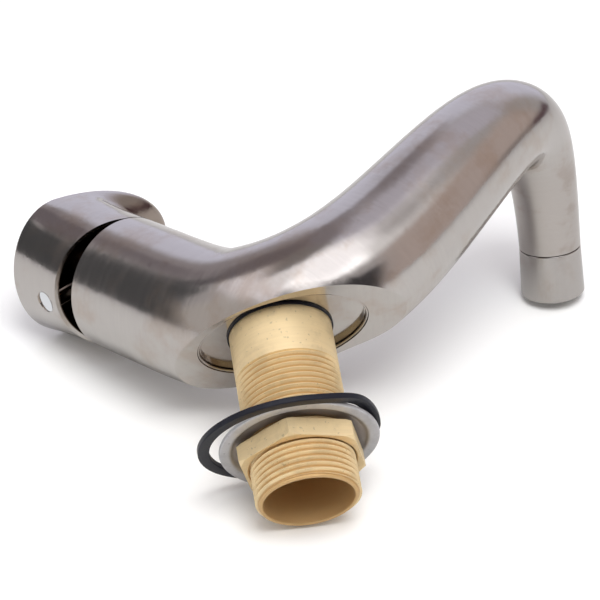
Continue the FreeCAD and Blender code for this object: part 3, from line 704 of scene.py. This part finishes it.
class TAP_OT_shank(bpy.types.Operator):
    """Threaded brass shank: a hollow core and one ridge wound round it"""

    bl_idname = "tap.shank"
    bl_label = "Threaded shank"

    def execute(self, context):
        s = sizes()
        low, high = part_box("threaded_shank")
        crest = (high.x - low.x) / 2
        root, plain, shoulder = crest - s.thread_depth, -s.thread_start, 2.4 * MM
        mesh = bmesh.new()
        lathe(mesh, rounded([
            (SHANK_BORE, low.z, 0.9 * MM), (root - 0.15 * MM, low.z, 0.5 * MM),
            (root, low.z + 1.2 * MM, 0.3 * MM), (root, plain - 0.4 * MM, 0.1 * MM),
            (crest, plain, 0.1 * MM), (crest, shoulder, 0.0), (crest - 1.0 * MM, shoulder, 0.0),
            (crest - 1.0 * MM, high.z, 0.0), (SHANK_BORE, high.z, 0.3 * MM)], 0.2 * MM), steps=144)
        ridge = self.wind_ridge(root, crest, plain, low.z)
        wound = bpy.data.meshes.new("shank_ridge")
        ridge.to_mesh(wound)
        ridge.free()
        mesh.from_mesh(wound)
        bpy.data.meshes.remove(wound)
        finish_mesh("shank_thread", mesh, "turned_brass", "tap_body", "brass", "threaded_shank",
                    sharp=35.0)
        return {"FINISHED"}

    def wind_ridge(self, root, crest, plain, end):
        """Winds the thread's section down the shank and cuts it off above the end."""
        pitch = sizes().thread_pitch
        flank, steps = pitch * 0.5, 72
        turns = int((plain - end) / pitch) + 1
        start = Vector((0.0, 0.0, plain + 0.6 * MM))
        upper = [(root - 0.25 * MM, -flank * 0.98), (root, -flank * 0.94),
                 (crest - 0.12 * MM, -0.16 * MM), (crest, -0.07 * MM)]
        section = upper + [(r, -h) for r, h in reversed(upper)]
        ridge = bmesh.new()
        face = ridge.faces.new([ridge.verts.new(start + Vector((r, 0.0, h))) for r, h in section])
        bmesh.ops.spin(
            ridge, geom=[face], cent=ORIGIN, axis=UP, angle=-math.tau * turns,
            steps=steps * turns, dvec=Vector((0.0, 0.0, -pitch / steps)))
        cut = cut_plane(ridge, (0.0, 0.0, end + 0.9 * MM), (0.0, 0.0, -1.0), clear_outer=True)
        open_edges = [e for e in cut["geom_cut"] if isinstance(e, bmesh.types.BMEdge)]
        bmesh.ops.holes_fill(ridge, edges=open_edges, sides=0)
        bmesh.ops.recalc_face_normals(ridge, faces=ridge.faces)
        return ridge


class TAP_OT_backnut(bpy.types.Operator):
    """Brass backnut: a hexagon with turned corners and broken edges"""

    bl_idname = "tap.backnut"
    bl_label = "Backnut"

    def execute(self, context):
        low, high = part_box("backnut")
        across_corners = NUT_FLATS / math.sqrt(3)
        hexagon = bmesh.new()
        place = Matrix.Translation((0.0, 0.0, (low.z + high.z) / 2))
        bmesh.ops.create_cone(
            hexagon, cap_ends=True, segments=6, radius1=across_corners, radius2=across_corners,
            depth=high.z - low.z, matrix=place @ Matrix.Rotation(NUT_TURN, 4, "Z"))
        turned = bmesh.new()
        bore, half, edge = 16.75 * MM, NUT_FLATS / 2, 0.5 * MM
        corner = half + 3.0 * MM
        lathe(turned, [
            (bore, low.z + edge), (bore + edge, low.z), (half + 1.5 * MM, low.z),
            (corner, low.z + 0.9 * MM), (corner, high.z - edge), (half + 1.9 * MM, high.z),
            (bore + edge, high.z), (bore, high.z - edge)], steps=120)
        bmesh.ops.recalc_face_normals(turned, faces=turned.faces)
        mesh = common_part("backnut_hexagon", hexagon, turned)
        bmesh.ops.remove_doubles(mesh, verts=mesh.verts, dist=1e-6)
        corners = [e for e in mesh.edges
                   if len(e.link_faces) == 2 and abs(e.calc_face_angle(0.0)) > math.radians(25)
                   and min(v.co.xy.length for v in e.verts) > bore + 0.45 * MM]
        bevel_edges(mesh, corners, sizes().nut_edge * 0.5, 1)
        finish_mesh("backnut_hexagon", mesh, "milled_brass", "nut", "brass", "backnut", sharp=12.0)
        return {"FINISHED"}


class TAP_OT_washers(bpy.types.Operator):
    """Clamping set: pressed washer, fibre washer, loose rubber ring and black ring at the base"""

    bl_idname = "tap.washers"
    bl_label = "Washers and rings"

    def execute(self, context):
        self.press_washer()
        self.cut_fibre_washer()
        self.lay_rubber_ring()
        self.fit_base_ring()
        return {"FINISHED"}

    def press_washer(self):
        """Dished steel washer with a rolled rim."""
        roll, bend = sizes().washer_roll, 0.8 * MM
        low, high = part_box("metal_washer")
        outer, rim, dish, sheet = (high.x - low.x) / 2, 3.4 * MM, 1.0 * MM, 1.5 * MM
        mesh = bmesh.new()
        lathe(mesh, rounded([
            (WASHER_BORE, low.z + dish, 0.2 * MM), (outer - rim - dish, low.z + dish, bend),
            (outer - rim, low.z, bend), (outer, low.z, roll), (outer, low.z + sheet, roll),
            (outer - rim, low.z + sheet, bend), (outer - rim - dish, high.z, bend),
            (WASHER_BORE, high.z, 0.2 * MM)], 0.2 * MM, 5), steps=144)
        finish_mesh("pressed_washer", mesh, "pressed_steel", "washers", "stainless",
                    "metal_washer", sharp=50.0)

    def cut_fibre_washer(self):
        """Thin flat fibre washer."""
        low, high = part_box("fibre_washer")
        mesh = bmesh.new()
        lathe(mesh, rounded([(WASHER_BORE, low.z), (high.x, low.z), (high.x, high.z),
                             (WASHER_BORE, high.z)], 0.15 * MM, 3), steps=120)
        finish_mesh("thin_fibre_washer", mesh, "dark_fibre", "washers", "fibre", "fibre_washer",
                    sharp=50.0)

    def lay_rubber_ring(self):
        """Loose rubber ring, held up and pushed out where it crosses the washer's rim."""
        s = sizes()
        mesh = bmesh.new()
        lathe(mesh, rounded([(RING_INNER, 0.0), (RING_OUTER, 0.0), (RING_OUTER, RING_THICK),
                             (RING_INNER, RING_THICK)], s.ring_edge), RING_CENTRE, RING_UP, 160)
        for vert in mesh.verts:
            away = Vector((vert.co.x - RING_CENTRE.x, vert.co.y - RING_CENTRE.y, 0.0))
            angle = math.degrees(math.atan2(away.y, away.x))
            vert.co.z += s.ring_lift * hump(angle, 146.0, 21.0)
            vert.co += away.normalized() * 0.5 * MM * hump(angle, 130.0, 18.0)
        finish_mesh("loose_rubber_ring", mesh, "black_rubber", "seal_ring", "rubber",
                    "rubber_ring", sharp=60.0)

    def fit_base_ring(self):
        """Black ring round the top of the shank."""
        low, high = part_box("base_ring")
        inner, outer = 16.66 * MM, 17.2 * MM
        mesh = bmesh.new()
        lathe(mesh, rounded([(inner, low.z), (outer, low.z, 0.25 * MM), (outer, high.z),
                             (inner, high.z)], 0.1 * MM), steps=128)
        finish_mesh("black_base_ring", mesh, "black_rubber", "tap_body", "rubber", "base_ring",
                    sharp=60.0)


class TAP_OT_bead(bpy.types.Operator):
    """Polished bead that runs round inside the oval recess of the base"""

    bl_idname = "tap.bead"
    bl_label = "Recess bead"

    def execute(self, context):
        half = sizes().bead / 2
        long, short, turn, sides = 28.6 * MM, 19.8 * MM, math.radians(160.5), 12
        angles = [math.tau * k / sides for k in range(sides)]
        mesh = bmesh.new()
        lathe(mesh, [(long - half + half * math.cos(a), half * math.sin(a)) for a in angles],
              steps=160)
        slim = Matrix.Diagonal((1.0, (short - half) / (long - half), 1.0, 1.0))
        place = Matrix.Translation((-0.6 * MM, 1.6 * MM, 0.62 * MM))
        bmesh.ops.transform(mesh, matrix=place @ Matrix.Rotation(turn, 4, "Z") @ slim,
                            verts=mesh.verts)
        finish_mesh("recess_bead", mesh, "brushed_nickel_body", "tap_body", "satin_nickel")
        return {"FINISHED"}


class TAP_OT_collar(bpy.types.Operator):
    """Outlet collar: turned sleeve with a dark seam above it and a chamfered end"""

    bl_idname = "tap.collar"
    bl_label = "Outlet collar"

    def execute(self, context):
        edge = sizes().collar_edge
        inner, outer, flare, lip = 8.68 * MM, 10.7 * MM, 0.4 * MM, 7.7 * MM
        seam, end = 0.45 * MM, 18.0 * MM
        floor_of_lip = end - 1.2 * MM
        mesh = bmesh.new()
        lathe(mesh, rounded([
            (inner, seam, 0.0), (outer - 0.15 * MM, seam, 0.0), (outer, seam + 0.15 * MM, 0.1 * MM),
            (outer + flare, end - edge, 0.3 * MM), (outer + flare - edge, end, 0.3 * MM),
            (lip, end, 0.3 * MM), (lip, floor_of_lip, 0.1 * MM), (inner, floor_of_lip, 0.0)],
            0.1 * MM), OUTLET_SEAM, OUTLET, 128)
        finish_mesh("outlet_collar", mesh, "brushed_nickel_collar", "tap_body", "satin_nickel",
                    "nozzle_collar", sharp=40.0)
        return {"FINISHED"}


def studio_world():
    """Room that the metal shows: grey, with soft white light above and behind the camera."""
    world = bpy.data.worlds.new("studio")
    bpy.context.scene.world = world
    world.use_nodes = True
    world.node_tree.nodes.clear()
    nodes = Nodes(world.node_tree)
    way = nodes.vector("NORMALIZE", nodes.add("TexCoord").outputs["Generated"])
    rise, ahead, right = (nodes.along(way, side) for side in (FLOOR_UP, AHEAD, RIGHT))
    azimuth = nodes.math("DEGREES", nodes.math("ARCTAN2", right, ahead))
    elevation = nodes.math("DEGREES", nodes.math("ARCSINE", rise))

    def between(value, rise_low, rise_high, fall_low, fall_high):
        """One between a soft rise and a soft fall."""
        return nodes.product(nodes.ramp(value, rise_low, rise_high),
                             nodes.fall(value, fall_low, fall_high))

    def panel(left, side, low, high, soft):
        """Share of a panel between two azimuths and two elevations, with soft edges."""
        return nodes.product(between(azimuth, left - soft, left + soft, side - soft, side + soft),
                             between(elevation, low - soft, low + soft, high - soft, high + soft))

    def lamp(towards, above, inner, outer):
        """Share of a round soft light by its angle from a direction."""
        a, e, inner, outer = (math.radians(v) for v in (towards, above, inner, outer))
        level = AHEAD * math.cos(a) + RIGHT * math.sin(a)
        middle = level * math.cos(e) + FLOOR_UP * math.sin(e)
        return nodes.ramp(nodes.along(way, middle), math.cos(outer), math.cos(inner))

    leaning = nodes.math("SUBTRACT", azimuth,
                         nodes.product(nodes.math("SUBTRACT", elevation, 12.0), 0.8))
    curtain = nodes.product(between(leaning, -93, -88, -72, -66),
                            between(elevation, -10, -2, 28, 34))
    lifted = nodes.math("SUBTRACT", elevation,
                        nodes.product(nodes.math("SUBTRACT", azimuth, 150.0), 0.25))
    doorway = nodes.product(nodes.ramp(azimuth, 115, 122), nodes.ramp(elevation, -14, -6),
                            nodes.fall(lifted, 38, 43))
    tone = (0.52, 0.49, 0.50, 1.0)
    # Azimuths run right from ahead, elevations up from the floor, both in degrees
    for window, shade in (
            (panel(-30, 35, -70, 48, 11), (0.82, 0.82, 0.97)),
            (panel(-30, 62, 50, 100, 8), (0.64, 0.61, 0.70)),
            (panel(62, 116, -12, 50, 8), (0.61, 0.51, 0.48)),
            (panel(72, 90, -8, 11, 4), (0.35, 0.30, 0.29)),
            (panel(-140, -92, -6, 36, 5), (0.60, 0.56, 0.54)),
            (panel(-142, -68, 35, 52, 4), (1.15, 1.10, 1.16)),
            (panel(-92, -34, 50, 78, 6), (0.28, 0.25, 0.25)),
            (panel(-48, -27, -2, 54, 6), (0.38, 0.34, 0.36)),
            (panel(-48, -18, 38, 72, 5), (0.30, 0.26, 0.28)),
            (panel(-66, -38, 28, 54, 3), (0.22, 0.19, 0.21)),
            (curtain, (0.085, 0.085, 0.09)),
            (doorway, (0.065, 0.06, 0.065)),
            (panel(-235, -142, -12, 45, 4), (0.20, 0.19, 0.19)),
            (panel(43, 72, -8, 11, 4), (0.12, 0.07, 0.085)),
            (panel(-235, -98, 48, 100, 6), (1.25, 1.22, 1.26)),
            (panel(100, 235, 47, 100, 6), (1.1, 1.08, 1.1)),
            (panel(-235, -136, 50, 100, 7), (2.6, 2.6, 2.7)),
            (panel(124, 235, 50, 100, 6), (2.6, 2.6, 2.7)),
            (lamp(180, 74, 10, 30), (1.75, 1.72, 1.8))):
        tone = nodes.mix(window, tone, (*shade, 1.0))
    white = (1.0, 1.0, 1.0, 1.0)
    seen = nodes.mix(nodes.add("LightPath").outputs["Is Camera Ray"], tone, white)
    nodes.add("OutputWorld", nodes.add("Background", seen, 1.0).outputs[0])


class TAP_OT_stage(bpy.types.Operator):
    """Pale floor, soft light and the camera"""

    bl_idname = "tap.stage"
    bl_label = "Stage"

    def execute(self, context):
        self.lay_floor(context.scene)
        studio_world()
        self.hang_lamp(context.scene)
        self.place_camera(context.scene)
        context.scene.view_settings.view_transform = "Standard"
        return {"FINISHED"}

    def lay_floor(self, scene):
        """Pale paper under the tap's lowest point."""
        lowest = min(corner.co.dot(FLOOR_TOUCH)
                     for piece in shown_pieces() for corner in piece.data.vertices)
        mesh = bmesh.new()
        place = Matrix.Translation(FLOOR_TOUCH * (lowest - 0.2 * MM))
        turn = FLOOR_TOUCH.to_track_quat("Z", "Y").to_matrix().to_4x4()
        bmesh.ops.create_grid(mesh, x_segments=8, y_segments=8, size=4.0, matrix=place @ turn)
        data = bpy.data.meshes.new("floor")
        mesh.to_mesh(data)
        mesh.free()
        floor = bpy.data.objects.new("floor", data)
        scene.collection.objects.link(floor)
        data.materials.append(self.paper())
        floor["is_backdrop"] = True

    def paper(self):
        """White paper to the camera and greyer in the metal; it isn't seen from below."""
        material = bpy.data.materials.new("floor_paper")
        material.use_nodes = True
        material.node_tree.nodes.clear()
        nodes = Nodes(material.node_tree)
        pale = colour("floor")
        clouds = nodes.ramp(nodes.noise(nodes.add("TexCoord").outputs["Object"], 9.0), 0.35, 0.65)
        seen = nodes.add("LightPath").outputs["Is Camera Ray"]
        tone = nodes.mix(seen, toned(pale, 0.76), nodes.mix(clouds, pale, toned(pale, 0.985)))
        glow = nodes.add("Emission", (1.0, 1.0, 1.0, 1.0), nodes.product(seen, 0.05))
        lit = nodes.add("AddShader", nodes.add("BsdfDiffuse", tone).outputs[0], glow.outputs[0])
        both = nodes.add("MixShader", nodes.add("NewGeometry").outputs["Backfacing"],
                         lit.outputs[0], nodes.add("BsdfTransparent").outputs[0])
        nodes.add("OutputMaterial", both.outputs[0])
        return material

    def hang_lamp(self, scene):
        """Wide soft lamp above the tap and behind the camera, not seen in the metal."""
        data = bpy.data.lights.new("soft_lamp", "AREA")
        data.shape, data.size, data.energy = "DISK", 0.6, 7.0
        lamp = bpy.data.objects.new("soft_lamp", data)
        lamp.location = FLOOR_UP * 1.0 - AHEAD * 0.45 + RIGHT * 0.1
        lamp.rotation_mode = "QUATERNION"
        lamp.rotation_quaternion = lamp.location.to_track_quat("Z", "Y")
        lamp.visible_camera = False
        lamp.visible_glossy = False
        scene.collection.objects.link(lamp)

    def place_camera(self, scene):
        """Camera as fitted to the photograph."""
        lens = bpy.data.cameras.new("photo_camera")
        lens.sensor_width, lens.lens = 36.0, 151.38
        lens.clip_start, lens.clip_end = 0.05, 20.0
        camera = bpy.data.objects.new("photo_camera", lens)
        turn = Matrix((CAMERA_RIGHT, -CAMERA_DOWN, -CAMERA_AHEAD)).transposed().to_4x4()
        camera.matrix_world = Matrix.Translation(CAMERA_PLACE) @ turn
        scene.collection.objects.link(camera)
        scene.camera = camera


class TAP_PT_panel(bpy.types.Panel):
    """Lists the sizes, the colours and the steps that build the tap"""

    bl_label = "Basin Mixer Tap"
    bl_space_type = "VIEW_3D"
    bl_region_type = "UI"
    bl_category = "Tap"

    def draw(self, context):
        for group in (context.scene.tap_sizes, context.scene.tap_finish):
            for name in group.bl_rna.properties.keys():
                if name not in ("rna_type", "name"):
                    self.layout.prop(group, name)
        for step in STEPS:
            self.layout.operator(step.bl_idname)


STEPS = (TAP_OT_finishes, TAP_OT_cap, TAP_OT_shank, TAP_OT_backnut, TAP_OT_washers, TAP_OT_bead,
         TAP_OT_collar, TAP_OT_stage)
CLASSES = (TapSizes, TapFinish, *STEPS, TAP_PT_panel)


def register():
    """Adds the classes and the scene's settings."""
    for item in CLASSES:
        bpy.utils.register_class(item)
    bpy.types.Scene.tap_sizes = bpy.props.PointerProperty(type=TapSizes)
    bpy.types.Scene.tap_finish = bpy.props.PointerProperty(type=TapFinish)


def unregister():
    """Takes them away again."""
    del bpy.types.Scene.tap_finish
    del bpy.types.Scene.tap_sizes
    for item in reversed(CLASSES):
        bpy.utils.unregister_class(item)


def main():
    """Builds the tap and its stage."""
    register()
    for step in STEPS:
        group, name = step.bl_idname.split(".")
        getattr(getattr(bpy.ops, group), name)()


if __name__ == "__main__":
    main()
